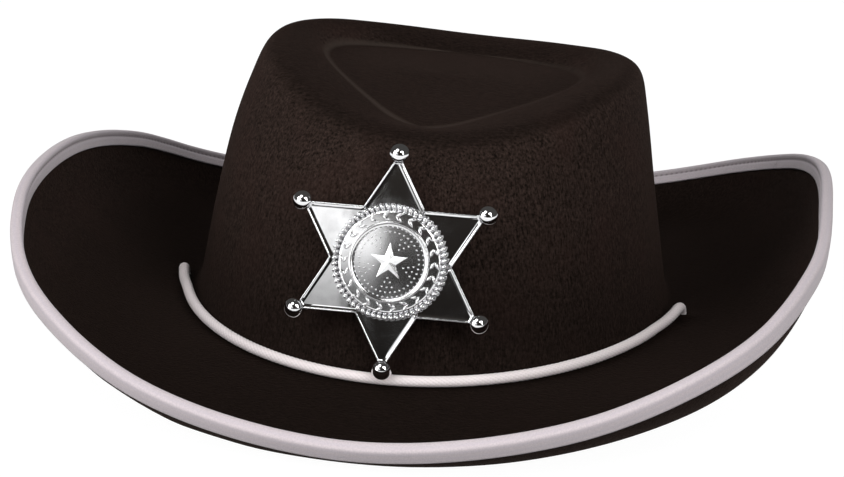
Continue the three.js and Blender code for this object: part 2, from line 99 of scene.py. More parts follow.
# Felt's unevenness
unevenness = 0.25 * MM
unevenness_wave = 30 * MM

# Badge
badge_tilt = math.radians(14.2)
badge_reach = 35.4 * MM
badge_lowered = 0.6 * MM
ball_radius = 3.5 * MM
plate_thickness = 1.6 * MM
plate_rim_radius = 0.28 * MM
point_lean = 0.55 * MM
steps_per_point = 16
medallion_lift = 1.9 * MM
medallion_radius = 19.4 * MM
rope_middle = 18.25 * MM
rope_radius = 1.2 * MM
rope_beads = 60
rope_height = 1.35 * MM
bead_slant = math.radians(35)
bead_radii = 1.2 * MM, 0.82 * MM, 0.9 * MM
band_inner = 12.9 * MM
band_middle = 15.1 * MM
leaf_pairs = 22
leaf_lean = math.radians(32)
leaf_radii = 1.55 * MM, 0.58 * MM, 0.42 * MM
leaf_offset = 0.75 * MM
face_height = 1.35 * MM
dome_height = 0.9 * MM
relief_star_reach = 7.8 * MM
relief_star_waist = 0.42
dot_radius = 0.36 * MM
dot_pitch = 1.62 * MM
dot_ring_radii = 11.55 * MM, 9.95 * MM


def make_camera():
    right = Vector((math.cos(camera_azimuth), math.sin(camera_azimuth), 0))
    level = math.cos(camera_elevation)
    back = Vector((level * right.y, -level * right.x, math.sin(camera_elevation)))
    up = back.cross(right)
    across = right * math.cos(camera_roll) + up * math.sin(camera_roll)
    upward = up * math.cos(camera_roll) - right * math.sin(camera_roll)
    turn = Matrix((across, upward, back)).transposed().to_4x4()
    data = bpy.data.cameras.new("camera")
    data.lens = camera_lens
    data.sensor_width = camera_sensor
    data.sensor_fit = "HORIZONTAL"
    camera = bpy.data.objects.new("camera", data)
    camera.matrix_world = Matrix.Translation(camera_target + back * camera_distance) @ turn
    scene.collection.objects.link(camera)
    scene.camera = camera


def new_object(name, mesh):
    made = bpy.data.objects.new(name, mesh)
    scene.collection.objects.link(made)
    return made


def shade_smooth(mesh):
    mesh.polygons.foreach_set("use_smooth", np.ones(len(mesh.polygons), bool))
    mesh.update()


def grid_mesh(name, grid, wrap_rows=False, wrap_columns=False, caps=False):
    """A mesh of quads over a grid of places. Caps close the ends of a tube."""
    rows, columns = grid.shape[:2]
    index = np.arange(rows * columns).reshape(rows, columns)
    if wrap_rows:
        index = np.vstack([index, index[:1]])
    if wrap_columns:
        index = np.hstack([index, index[:, :1]])
    corners = [index[:-1, :-1], index[:-1, 1:], index[1:, 1:], index[1:, :-1]]
    faces = np.stack(corners, axis=-1).reshape(-1, 4).tolist()
    if caps:
        faces += [list(range(columns))[::-1], list(range((rows - 1) * columns, rows * columns))]
    mesh = bpy.data.meshes.new(name)
    mesh.from_pydata(grid.reshape(-1, 3).tolist(), [], faces)
    shade_smooth(mesh)
    return mesh


def set_attribute(mesh, name, values):
    attribute = mesh.attributes.new(name, "FLOAT", "POINT")
    attribute.data.foreach_set("value", np.ascontiguousarray(values, np.float32).ravel())


def welded(node):
    """A CAD node's solid as a bmesh, with its split corners welded."""
    solid = bmesh.new()
    solid.from_mesh(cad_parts[node].data)
    bmesh.ops.remove_doubles(solid, verts=solid.verts, dist=1e-6)
    solid.verts.index_update()
    return solid


def swept_sections(node, longest):
    """A swept solid's corners, those beside each one in its section, and the sections in order
    along it. Edges shorter than `longest` lie in a section, and longer ones lead to the next."""
    solid = welded(node)
    places = [np.array(vert.co) for vert in solid.verts]
    short = [[] for _ in places]
    far = [[] for _ in places]
    for edge in solid.edges:
        first, second = (vert.index for vert in edge.verts)
        side = short if edge.calc_length() < longest else far
        side[first].append(second)
        side[second].append(first)
    solid.free()
    section_of, sections = {}, []
    for start in range(len(places)):
        if start in section_of:
            continue
        members, waiting = [], [start]
        while waiting:
            reached = waiting.pop()
            if reached not in section_of:
                section_of[reached] = len(sections)
                members.append(reached)
                waiting += short[reached]
        sections.append(members)
    beside = [
        {section_of[other] for corner in members for other in far[corner]}
        for members in sections
    ]
    ends = [number for number, others in enumerate(beside) if len(others) == 1]
    order = [ends[0] if ends else 0]
    while len(order) < len(sections):
        order.append(min(beside[order[-1]] - set(order)))
    return np.array(places), short, [sections[number] for number in order]


def around(members, short):
    """A section's corners in the order in which its edges join them."""
    path = [members[0]]
    while len(path) < len(members):
        path.append(next(corner for corner in short[path[-1]] if corner not in path))
    return path


def matched(section, before):
    """The section turned, and reversed if need be, so that its corners follow those before."""
    ways = section, section[::-1]
    turns = [np.roll(way, shift, axis=0) for way in ways for shift in range(len(section))]
    return min(turns, key=lambda turned: ((turned - before) ** 2).sum())


def smooth_curve(points, places, closed=False):
    """Places on a smooth curve through points, counted in points from the first."""
    count = len(points)
    low = np.floor(places).astype(int)
    if not closed:
        low = np.minimum(low, count - 2)
        first, last = 2 * points[0] - points[1], 2 * points[-1] - points[-2]
        extended = np.concatenate([[first], points, [last]])

    def at(index):
        if closed:
            return points[index % count]
        return extended[np.clip(index + 1, 0, count + 1)]

    share = (places - low).reshape((-1,) + (1,) * (points.ndim - 1))
    before, start, end, after = at(low - 1), at(low), at(low + 1), at(low + 2)
    square, cube = share**2, share**3
    return 0.5 * (
        2 * start
        + (end - before) * share
        + (2 * before - 5 * start + 4 * end - after) * square
        + (3 * start - before - 3 * end + after) * cube
    )


def lengths_along(points):
    steps = np.linalg.norm(np.diff(points, axis=0), axis=1)
    return np.concatenate([[0], np.cumsum(steps)])


def evenly(points, spacing):
    """The same path with places an even distance apart."""
    along = lengths_along(points)
    count = max(2, round(along[-1] / spacing) + 1)
    wanted = np.linspace(0, along[-1], count)
    return np.stack([np.interp(wanted, along, points[:, axis]) for axis in range(3)], axis=1)


def cord_path(node):
    """The middle line of a CAD cord, from one end to the other."""
    longest_edge = 4 * MM
    places_per_ring = 40
    corners, _, sections = swept_sections(node, longest_edge)
    centres = np.array([corners[section].mean(axis=0) for section in sections])
    places = np.linspace(0, len(centres) - 1, places_per_ring * len(centres))
    return evenly(smooth_curve(centres, places), braid_pitch / samples_per_pitch)


def eased(value, low, high):
    share = np.clip((value - low) / (high - low), 0, 1)
    return share * share * (3 - 2 * share)


def laid_down(path):
    """The front cord's path with the arch before each hole lying nearer to the felt."""
    along = lengths_along(path)
    for from_end, drop in ((along, right_arch_drop), (along[-1] - along, left_arch_drop)):
        arch = eased(from_end, *arch_starts) * (1 - eased(from_end, *arch_ends))
        path[:, 2] -= drop * arch
    return path


def path_frames(path):
    """For each place on a path, two directions square to it that turn as little as they can."""
    tangents = np.gradient(path, axis=0)
    tangents /= np.linalg.norm(tangents, axis=1, keepdims=True)
    side = np.cross(tangents[0], (0, 1, 0))
    sides = []
    for tangent in tangents:
        side = side - tangent * np.dot(side, tangent)
        side /= np.linalg.norm(side)
        sides.append(side)
    sides = np.array(sides)
    return sides, np.cross(tangents, sides)


def braided_cord(node, path):
    """A cord whose crossing strands stand out as rows of rounded lozenges."""
    sides, ups = path_frames(path)
    samples = braid_strands * samples_per_strand
    angles = np.linspace(0, 2 * np.pi, samples, endpoint=False)
    along = lengths_along(path)[:, None]
    lay = np.pi * along / braid_pitch
    swing = braid_strands / 2 * angles[None, :]
    lozenge = np.abs(np.sin(swing + lay) * np.sin(swing - lay))
    radius = cord_diameter / 2 + braid_depth * (np.sqrt(lozenge) - 0.5)
    cosines, sines = np.cos(angles)[:, None], np.sin(angles)[:, None]
    outward = sides[:, None] * cosines + ups[:, None] * sines
    grid = path[:, None] + outward * radius[..., None]
    mesh = grid_mesh(node + "_braid", grid, wrap_columns=True, caps=True)
    set_attribute(mesh, "strand", np.sqrt(lozenge))
    return new_object(node + "_braid", mesh)


def dress(made, node, material):
    """A new piece stands for its CAD node, rides with the hat and takes its finish."""
    made.data.materials.clear()
    made.data.materials.append(material)
    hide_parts(node)
    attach(made, "root")


def node_tree(name):
    material = bpy.data.materials.new(name)
    material.use_nodes = True
    return material, material.node_tree, material.node_tree.nodes["Principled BSDF"]


def feed(tree, socket, value):
    """Give a socket a number, a colour or another node's output."""
    if isinstance(value, bpy.types.NodeSocket):
        tree.links.new(value, socket)
    else:
        socket.default_value = value


def add_node(tree, kind, inputs=None, **settings):
    node = tree.nodes.new(kind)
    for name, value in settings.items():
        setattr(node, name, value)
    for name, value in (inputs or {}).items():
        feed(tree, node.inputs[name], value)
    return node


def math_node(tree, operation, *values):
    node = tree.nodes.new("ShaderNodeMath")
    node.operation = operation
    for socket, value in zip(node.inputs, values):
        feed(tree, socket, value)
    return node.outputs[0]


def product(tree, *values):
    result = values[0]
    for value in values[1:]:
        result = math_node(tree, "MULTIPLY", result, value)
    return result


def distance_from(tree, value, place):
    return math_node(tree, "ABSOLUTE", math_node(tree, "SUBTRACT", value, place))


def waves(tree, value, pitch):
    return math_node(tree, "SINE", product(tree, value, 2 * math.pi / pitch))


def object_axes(tree):
    """The X, Y and Z of a place on the surface."""
    place = add_node(tree, "ShaderNodeTexCoord").outputs["Object"]
    return add_node(tree, "ShaderNodeSeparateXYZ", {"Vector": place}).outputs


def attribute_value(tree, name):
    return add_node(tree, "ShaderNodeAttribute", attribute_name=name).outputs["Fac"]


def stretched_noise(tree, grain, detail=3.0, roughness=0.55):
    """Noise whose grain is so many metres long along X, Y and Z."""
    place = add_node(tree, "ShaderNodeTexCoord").outputs["Object"]
    scale = [1 / length for length in grain]
    mapping = add_node(tree, "ShaderNodeMapping", {"Vector": place, "Scale": scale})
    inputs = {
        "Vector": mapping.outputs[0],
        "Scale": 1.0,
        "Detail": detail,
        "Roughness": roughness,
    }
    return add_node(tree, "ShaderNodeTexNoise", inputs).outputs["Fac"]


def ranged(tree, value, low, high, to_low=0.0, to_high=1.0):
    """A value from low to high brought smoothly to another range."""
    inputs = {
        "Value": value,
        "From Min": low,
        "From Max": high,
        "To Min": to_low,
        "To Max": to_high,
    }
    node = add_node(tree, "ShaderNodeMapRange", inputs, interpolation_type="SMOOTHSTEP")
    return node.outputs["Result"]


def mixed(tree, share, first, second):
    node = add_node(tree, "ShaderNodeMix", data_type="RGBA")
    colours = [socket for socket in node.inputs if socket.type == "RGBA"]
    for socket, value in zip([node.inputs["Factor"], *colours], [share, first, second]):
        feed(tree, socket, value)
    return next(socket for socket in node.outputs if socket.type == "RGBA")


def bumped(tree, height, distance, strength=1.0, under=None):
    inputs = {"Height": height, "Distance": distance, "Strength": strength}
    if under is not None:
        inputs["Normal"] = under
    return add_node(tree, "ShaderNodeBump", inputs).outputs["Normal"]


def crease_share(tree):
    """1 on the pressed crease round the dent's floor, and 0 away from it."""
    line_fade = 0.1 * MM, 2.0 * MM
    least_cosine = 0.35
    axes = object_axes(tree)
    x = distance_from(tree, axes["X"], dent_middle.x)
    y = math_node(tree, "SUBTRACT", axes["Y"], dent_middle.y)
    sine = math_node(tree, "DIVIDE", y, dent_half_length)
    within = math_node(tree, "SUBTRACT", 1.0, product(tree, sine, sine))
    cosine = math_node(tree, "SQRT", math_node(tree, "MAXIMUM", within, 0.0))
    taper = math_node(tree, "MULTIPLY_ADD", sine, dent_taper, 1.0)
    edge = product(tree, cosine, taper, dent_half_width / dent_widest)
    off = distance_from(tree, x, edge)
    steep = math_node(tree, "DIVIDE", 1.0, math_node(tree, "MAXIMUM", cosine, least_cosine))
    line = ranged(tree, math_node(tree, "DIVIDE", off, steep), *line_fade, 1.0, 0.0)
    high = ranged(tree, axes["Z"], dent_lowest, dent_lowest + 8 * MM)
    brushed = ranged(tree, axes["X"], -15 * MM, 40 * MM, 1.0, 0.35)
    beside_floor = ranged(tree, within, -0.02, 0.04)
    return product(tree, line, high, brushed, beside_floor)


def felt_material():
    """Near-black brown felt: fibres that run up the crown, and sideways where it lies level."""
    material, tree, shader = node_tree("felt")
    dark = (0.004, 0.0026, 0.002, 1)
    light = (0.048, 0.031, 0.0255, 1)
    warm = (0.031, 0.0165, 0.0135, 1)
    # Painted shade: the colour the felt takes low on the crown and where it faces up
    shaded = (0.0042, 0.0027, 0.002, 1)
    pressed = (0.075, 0.06, 0.05, 1)
    fibre_relief, crease_relief = 0.65 * MM, 0.3 * MM

    upright = stretched_noise(tree, (0.6 * MM, 0.6 * MM, 2.8 * MM), 4, 0.65)
    sideways = stretched_noise(tree, (2.4 * MM, 0.8 * MM, 0.8 * MM), 4, 0.65)
    grain = stretched_noise(tree, (1.1 * MM,) * 3, 4, 0.7)
    patches = stretched_noise(tree, (22 * MM,) * 3, 2)

    normal = add_node(tree, "ShaderNodeNewGeometry").outputs["Normal"]
    facing_up = add_node(tree, "ShaderNodeSeparateXYZ", {"Vector": normal}).outputs["Z"]
    level = ranged(tree, facing_up, 0.6, 0.9)
    upright = product(tree, upright, math_node(tree, "SUBTRACT", 1.0, level))
    fibres = math_node(tree, "ADD", upright, product(tree, sideways, level))
    tone = math_node(tree, "MULTIPLY_ADD", fibres, 0.5, product(tree, grain, 0.5))

    colour = mixed(tree, ranged(tree, tone, 0.34, 0.7), dark, light)
    colour = mixed(tree, ranged(tree, patches, 0.45, 0.7, 0.0, 0.3), colour, warm)
    # Painted shade: darker toward the foot of the crown and on faces that look up, as the light
    # falls
    painted_light_by_height = ranged(tree, object_axes(tree)["Z"], 20 * MM, 75 * MM, 0.42, 1.0)
    painted_light_when_upright = ranged(tree, facing_up, 0.6, 0.97, 1.0, 0.33)
    colour = mixed(tree, product(tree, painted_light_by_height, painted_light_when_upright), shaded, colour)
    crease = crease_share(tree)
    colour = mixed(tree, product(tree, crease, 0.42), colour, pressed)

    feed(tree, shader.inputs["Base Color"], colour)
    shader.inputs["Roughness"].default_value = 0.95
    shader.inputs["Specular IOR Level"].default_value = 0.03
    shader.inputs["Sheen Weight"].default_value = 0.05
    shader.inputs["Sheen Roughness"].default_value = 0.45
    shader.inputs["Sheen Tint"].default_value = (0.7, 0.46, 0.38, 1)
    relief = bumped(tree, tone, fibre_relief, 1.0)
    relief = bumped(tree, crease, crease_relief, 0.8, relief)
    feed(tree, shader.inputs["Normal"], relief)
    return material


def tape_material():
    """White tape with faint lengthwise bands, ribs at its free edge and stitches in its groove, and
    painted shade in the groove and at its stitches.
    """
    material, tree, shader = node_tree("tape")
    plain, bright = (0.58, 0.515, 0.54, 1), (0.665, 0.59, 0.615, 1)
    band_colour = (0.55, 0.5, 0.56, 1)
    # Painted shade colours for the groove and its stitches
    groove_shade_colour = (0.36, 0.31, 0.33, 1)
    stitch_shade_colour = (0.22, 0.19, 0.2, 1)
    weave_relief, rib_relief = 0.12 * MM, 0.06 * MM

    along = attribute_value(tree, "along")
    across = attribute_value(tree, "across")
    stitched = attribute_value(tree, "stitched")
    away = math_node(tree, "ABSOLUTE", across)
    free_edge = ranged(tree, away, groove_place, groove_place + groove_width)
    ribbed = math_node(tree, "MULTIPLY_ADD", product(tree, free_edge, stitched), 0.9, 0.05)
    ribs = product(tree, waves(tree, along, rib_pitch), ribbed)
    weave = stretched_noise(tree, (0.5 * MM,) * 3, 2)

    # Painted shade: the groove and its stitches darken where the stitching draws the tape in
    off = distance_from(tree, away, groove_place)
    in_groove = ranged(tree, off, 0.1 * MM, groove_width, 1.0, 0.0)
    stitches = ranged(tree, waves(tree, along, stitch_pitch), -0.6, 0.9)
    stitch_shade = product(tree, in_groove, stitches, stitched, 0.7)
    groove_shade = product(tree, in_groove, stitched, 0.75)
    bands = ranged(tree, waves(tree, across, tape_band_pitch), -0.5, 1.0, 0.0, 0.3)

    colour = mixed(tree, ranged(tree, weave, 0.3, 0.7), plain, bright)
    colour = mixed(tree, groove_shade, colour, groove_shade_colour)
    colour = mixed(tree, bands, colour, band_colour)
    colour = mixed(tree, stitch_shade, colour, stitch_shade_colour)
    feed(tree, shader.inputs["Base Color"], colour)
    shader.inputs["Roughness"].default_value = 0.75
    shader.inputs["Specular IOR Level"].default_value = 0.3
    shader.inputs["Sheen Weight"].default_value = 0.15
    relief = bumped(tree, weave, weave_relief, 0.5)
    relief = bumped(tree, ribs, rib_relief, 0.7, relief)
    feed(tree, shader.inputs["Normal"], relief)
    return material


def cord_material():
    """White yarn, with painted shade where the braid's strands sink between their crossings."""
    material, tree, shader = node_tree("cord")
    dip_shade, crest = (0.56, 0.5, 0.5, 1), (0.88, 0.8, 0.8, 1)
    fuzz_relief = 0.1 * MM
    fuzz = stretched_noise(tree, (0.3 * MM,) * 3, 2)
    # Painted shade: the yarn greys where the braid's strands sink
    colour = mixed(tree, ranged(tree, attribute_value(tree, "strand"), 0.0, 0.55), dip_shade, crest)
    feed(tree, shader.inputs["Base Color"], colour)
    shader.inputs["Roughness"].default_value = 0.8
    shader.inputs["Specular IOR Level"].default_value = 0.25
    shader.inputs["Sheen Weight"].default_value = 0.2
    feed(tree, shader.inputs["Normal"], bumped(tree, fuzz, fuzz_relief, 0.5))
    return material


def chrome_material(name, smoothest, roughest):
    """Bright plating under a thin uneven film, with a faint ripple."""
    material, tree, shader = node_tree(name)
    clean, filmed = (0.87, 0.87, 0.88, 1), (0.81, 0.81, 0.82, 1)
    ripple_relief = 0.05 * MM
    film = stretched_noise(tree, (9 * MM,) * 3, 3)
    ripple = stretched_noise(tree, (6 * MM,) * 3, 1)
    colour = mixed(tree, ranged(tree, film, 0.35, 0.7), clean, filmed)
    feed(tree, shader.inputs["Base Color"], colour)
    feed(tree, shader.inputs["Roughness"], ranged(tree, film, 0.3, 0.8, smoothest, roughest))
    shader.inputs["Metallic"].default_value = 1.0
    feed(tree, shader.inputs["Normal"], bumped(tree, ripple, ripple_relief, 0.4))
    return material


def on_crease(place):
    """Whether a place lies on the teardrop round the dent's floor."""
    x, y = place.x - dent_middle.x, place.y - dent_middle.y
    sine = y / dent_half_length
    if place.z < dent_lowest or abs(sine) > 1.01:
        return False
    cosine = math.sqrt(max(0, 1 - sine**2))
    edge = dent_half_width / dent_widest * cosine * (1 + dent_taper * sine)
    return abs(abs(x) - edge) < crease_tolerance * (1 + 3 * abs(sine))


def felt_body():
    """The felt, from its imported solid: rounded by subdivision, with the dent's crease kept."""
    solid = welded("hat_body")
    bmesh.ops.join_triangles(
        solid,
        faces=solid.faces,
        angle_face_threshold=math.pi,
        angle_shape_threshold=math.pi,
    )
    crease = solid.edges.layers.float.new("crease_edge")
    for edge in solid.edges:
        if all(on_crease(vert.co) for vert in edge.verts):
            edge[crease] = crease_sharpness
    mesh = bpy.data.meshes.new("felt_body")
    solid.to_mesh(mesh)
    made = new_object("felt_body", mesh)
    rounding = made.modifiers.new("rounding", "SUBSURF")
    rounding.levels = rounding.render_levels = 2
    apply_modifiers(made)
    count = len(made.data.vertices)
    places, normals = np.empty(3 * count), np.empty(3 * count)
    made.data.vertices.foreach_get("co", places)
    made.data.vertex_normals.foreach_get("vector", normals)
    places, normals = places.reshape(-1, 3), normals.reshape(-1, 3)
    lift = np.array([noise.noise(Vector(place) / unevenness_wave) for place in places])
    places += normals * lift[:, None] * unevenness
    for x, y, pucker in puckers:
        off = np.hypot(places[:, 0] - x, places[:, 1] - y)
        places[:, 2] += pucker * np.exp(-((off / pucker_reach) ** 2))
    places[:, 2] = np.maximum(places[:, 2], 0)
    made.data.vertices.foreach_set("co", places.ravel())
    shade_smooth(made.data)
    return made


def apply_modifiers(made):
    depsgraph = bpy.context.evaluated_depsgraph_get()
    final = bpy.data.meshes.new_from_object(made.evaluated_get(depsgraph))
    made.modifiers.clear()
    made.data = final


def tape_corners():
    """The corners of the CAD binding, one row for each section round the rim, and how many of a
    row's first corners run over its outside, from the upper face to the lower."""
    longest_edge = 5 * MM
    near_felt = 0.7 * MM
    above_crown = Vector((0, 0, 200 * MM))
    felt = BVHTree.FromBMesh(welded("hat_body"))
    rows = []
    corners, beside, sections = swept_sections("brim_binding", longest_edge)
    for members in sections:
        section = corners[around(members, beside)]
        rows.append(matched(section, rows[-1]) if rows else section)
    rows = np.array(rows)
    off_felt = np.array([[felt.find_nearest(Vector(place))[3] for place in row] for row in rows])
    inside = off_felt.mean(axis=0) < near_felt
    start = next(i for i in range(len(inside)) if not inside[i] and inside[i - 1])
    rows = np.roll(rows, -start, axis=1)
    outer = int((~inside).sum())
    from_above = np.linalg.norm(rows - above_crown, axis=2).sum(axis=0)
    if from_above[0] > from_above[outer - 1]:
        rows = np.concatenate([rows[:, outer - 1 :: -1], rows[:, : outer - 1 : -1]], axis=1)
    return rows, outer


def pulled_in(places):
    """How deep the stitching draws the tape in: little at the front, where it lies smooth."""
    back_share = (places[..., 1] - smooth_front) / (fully_stitched - smooth_front)
    return least_stitched + (1 - least_stitched) * np.clip(back_share, 0, 1)


def tape_relief(away, depth):
    """How far the tape's face stands out, by the distance from its fold."""
    roll = tape_roll_height * np.sin(np.pi * np.clip(away / tape_roll_width, 0, 1))
    groove = groove_depth * np.exp(-(((away - groove_place) / groove_width) ** 2))
    return (roll - groove) * depth


def finer(rows, count):
    """Each row of corners as a smooth curve through so many places."""
    places = np.linspace(0, rows.shape[1] - 1, count)
    return np.array([smooth_curve(row, places) for row in rows])


def tape_binding():
    """The tape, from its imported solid: a puffed roll at the fold and a stitched groove past it."""
    corners, outer = tape_corners()
    places = np.linspace(0, len(corners), tape_sections, endpoint=False)
    rows = smooth_curve(corners, places, closed=True)
    outside = finer(rows[:, :outer], tape_outer_places)
    inside = finer(rows[:, outer:], tape_inner_places)
    crest = tape_outer_places // 2
    steps = np.linalg.norm(np.diff(outside, axis=1), axis=2)
    along_face = np.concatenate([np.zeros((len(rows), 1)), np.cumsum(steps, axis=1)], axis=1)
    across = along_face - along_face[:, crest : crest + 1]
    tangent = np.gradient(outside, axis=1)
    forward = np.roll(outside, -1, axis=0) - np.roll(outside, 1, axis=0)
    normal = np.cross(tangent, forward)
    normal /= np.linalg.norm(normal, axis=2, keepdims=True)
    centre = rows.mean(axis=1)[:, None]
    if ((outside - centre) * normal).sum() < 0:
        normal = -normal
    depth = pulled_in(outside) * (across < 0)
    outside = outside + normal * tape_relief(np.abs(across), depth)[..., None]
    grid = np.concatenate([outside, inside], axis=1)
    mesh = grid_mesh("tape_binding", grid, wrap_rows=True, wrap_columns=True)
    rim = lengths_along(outside[:, crest])
    set_attribute(mesh, "along", rim[:, None] * np.ones(grid.shape[1]))
    no_face = np.zeros(inside.shape[:2])
    set_attribute(mesh, "across", np.concatenate([across, no_face], axis=1))
    set_attribute(mesh, "stitched", np.concatenate([depth, no_face], axis=1))
    return new_object("tape_binding", mesh)


def badge_places():
    """The badge's own frame, found from its packed plate: X right, Y up, Z out of its face."""
    turn = Matrix.Rotation(math.pi / 2 - badge_tilt, 4, "X")
    local = np.array([turn.inverted() @ v.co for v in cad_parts["badge_star"].data.vertices])
    middle = (local.min(axis=0) + local.max(axis=0)) / 2
    middle[2] -= plate_thickness / 2
    middle[1] -= badge_lowered
    return turn @ Matrix.Translation(middle)


def star_reach(angle):
    """How far the outline of a six-pointed star reaches at an angle, for a reach of 1."""
    off_tip = abs(angle % (math.pi / 3) - math.pi / 6)
    return 0.5 / math.cos(math.pi / 3 - off_tip)


def bent_back(mesh):
    """The plate with its points leaning back a little, as stamping leaves them."""
    for vert in mesh.vertices:
        vert.co.z -= point_lean * (vert.co.x**2 + vert.co.y**2) / badge_reach**2
    return mesh


def star_plate():
    """The plate: its outline drawn in by shares, over a profile with a rounded raised rim."""
    rise = plate_thickness
    rim_height = rise - 0.1 * MM

    def share_in(distance):
        return 1 - 2 * distance / badge_reach

    rim = []
    for turn in range(0, 180, 30):
        angle = math.radians(turn)
        inward = plate_rim_radius * (1 - math.cos(angle))
        rim.append((share_in(inward), rim_height + plate_rim_radius * math.sin(angle)))
    profile = [
        (0.02, 0),
        (share_in(0.3 * MM), 0),
        (1, 0.22 * rise),
        *rim,
        (share_in(2.1 * plate_rim_radius), rise),
        *((share / 10, rise) for share in range(9, 0, -1)),
        (0.02, rise),
    ]
    angles = np.linspace(0, 2 * math.pi, 6 * steps_per_point, endpoint=False)
    reaches = badge_reach * np.array([star_reach(angle) for angle in angles])
    outline = np.stack([np.cos(angles), np.sin(angles)], axis=1) * reaches[:, None]
    grid = np.array([[[*(place * share), height] for place in outline] for share, height in profile])
    mesh = grid_mesh("star_plate", grid, wrap_columns=True, caps=True)
    mesh.flip_normals()
    mesh.set_sharp_from_angle(angle=math.radians(48))
    return bent_back(mesh)


def polar(reach, angle, height):
    return Vector((reach * math.cos(angle), reach * math.sin(angle), height))


def ball_mesh(radius, place, segments=28, rings=18):
    solid = bmesh.new()
    bmesh.ops.create_uvsphere(solid, u_segments=segments, v_segments=rings, radius=radius)
    bmesh.ops.translate(solid, verts=solid.verts, vec=place)
    for face in solid.faces:
        face.smooth = True
    mesh = bpy.data.meshes.new("ball")
    solid.to_mesh(mesh)
    return mesh


def joined(name, meshes, placed):
    """One object from several meshes, set in the badge's frame."""
    solid = bmesh.new()
    for mesh in meshes:
        solid.from_mesh(mesh)
        bpy.data.meshes.remove(mesh)
    mesh = bpy.data.meshes.new(name)
    solid.to_mesh(mesh)
    mesh.transform(placed)
    mesh.update()
    return new_object(name, mesh)


def badge_star():
    meshes = [star_plate()]
    ball_height = plate_thickness / 2 - point_lean
    for point in range(6):
        angle = math.radians(30 + 60 * point)
        meshes.append(ball_mesh(ball_radius, polar(badge_reach, angle, ball_height)))
    return joined("star_face", meshes, badge_places())


def dome(radius):
    """How high the medallion's domed face stands at a distance from its middle."""
    return face_height + dome_height * (1 - (radius / medallion_radius) ** 2)


def turned(name, profile, steps):
    """A round shape turned about Z from its profile, closed at both ends."""
    angles = np.linspace(0, 2 * math.pi, steps, endpoint=False)
    grid = np.array([[polar(reach, angle, height) for angle in angles] for reach, height in profile])
    return grid_mesh(name, grid, wrap_columns=True, caps=True)


def medallion_disc():
    """The disc: a rim under the rope, the band, a thin raised ring and the domed field."""
    rim = [
        (0.1 * MM, 0),
        (rope_middle, 0),
        (rope_middle, 1.0 * MM),
        (rope_middle - rope_radius, 1.2 * MM),
    ]
    ring_top = dome(band_inner)
    raised_ring = [
        (band_inner + 0.25 * MM, ring_top + 0.32 * MM),
        (band_inner - 0.05 * MM, ring_top + 0.36 * MM),
        (band_inner - 0.3 * MM, ring_top + 0.26 * MM),
    ]
    band = [17.0 * MM, 16 * MM, 15 * MM, 14 * MM, band_inner + 0.5 * MM, band_inner + 0.38 * MM]
    field = [band_inner - 0.42 * MM, 11.5 * MM, 10 * MM, *(r * MM for r in (8, 6, 4, 2, 0.1))]
    band, field = ([(radius, dome(radius)) for radius in radii] for radii in (band, field))
    return turned("disc", rim + band + raised_ring + field, 120)


def rope_border():
    """The slanting strands of a rope round the rim, each a long rounded bead."""
    shape = Matrix.Rotation(bead_slant, 4, "Z") @ Matrix.Diagonal((*bead_radii, 1))
    out = Matrix.Translation((rope_middle, 0, rope_height))
    beads = []
    for index in range(rope_beads):
        bead = ball_mesh(1, Vector(), 10, 8)
        turn = Matrix.Rotation(2 * math.pi * index / rope_beads, 4, "Z")
        bead.transform(turn @ out @ shape)
        beads.append(bead)
    return beads


def relief_star():
    """A five-pointed star whose points rise to a ridge."""
    solid = bmesh.new()
    root, crown = dome(0) - 0.3 * MM, dome(0) + 0.85 * MM
    outline = []
    for index in range(10):
        reach = relief_star_reach * (1 if index % 2 == 0 else relief_star_waist)
        outline.append(solid.verts.new(polar(reach, math.pi / 2 + math.pi * index / 5, root)))
    top = solid.verts.new((0, 0, crown))
    for index in range(10):
        solid.faces.new((outline[index], outline[(index + 1) % 10], top))
    solid.faces.new(outline[::-1])
    mesh = bpy.data.meshes.new("relief_star")
    solid.to_mesh(mesh)
    return mesh


def leaf(angle, side):
    """A raised leaf in the band, leaning from the middle line of the band to one side."""
    mesh = ball_mesh(1, Vector(), 10, 6)
    mesh.transform(Matrix.Diagonal((*leaf_radii, 1)))
    for vert in mesh.vertices:
        vert.co.y *= 1 - 0.75 * (vert.co.x / leaf_radii[0]) ** 2
    middle = band_middle + side * leaf_offset
    turn = Matrix.Rotation(angle, 4, "Z")
    out = Matrix.Translation((middle, 0, dome(middle) + 0.05 * MM))
    mesh.transform(turn @ out @ Matrix.Rotation(math.pi / 2 + side * leaf_lean, 4, "Z"))
    return mesh


def dot(reach, angle):
    return ball_mesh(dot_radius, polar(reach, angle, dome(reach)), 8, 6)


def field_dots():
    """Two rings of small raised dots in the field, and a cluster between the star's points."""
    dots = []
    for reach in dot_ring_radii:
        count = round(2 * math.pi * reach / dot_pitch)
        dots += [dot(reach, 2 * math.pi * index / count) for index in range(count)]
    cluster_rows = (5.2 * MM, (0,)), (6.7 * MM, (-0.13, 0.13)), (8.3 * MM, (-0.2, 0, 0.2))
    for index in range(5):
        middle = math.pi / 2 + math.pi / 5 + 2 * math.pi * index / 5
        dots += [dot(reach, middle + turn) for reach, turns in cluster_rows for turn in turns]
    return dots


def badge_medallion():
    meshes = [medallion_disc(), *rope_border(), relief_star(), *field_dots()]
    for index in range(leaf_pairs):
        angle = 2 * math.pi * index / leaf_pairs
        meshes += [leaf(angle, side) for side in (-1, 1)]
    placed = badge_places() @ Matrix.Translation((0, 0, medallion_lift))
    return joined("medallion_face", meshes, placed)


def rectangle(name, half_width, half_height):
    mesh = bpy.data.meshes.new(name)
    signs = (-1, -1), (1, -1), (1, 1), (-1, 1)
    corners = [(x * half_width, y * half_height, 0) for x, y in signs]
    mesh.from_pydata(corners, [], [(0, 1, 2, 3)])
    return new_object(name, mesh)


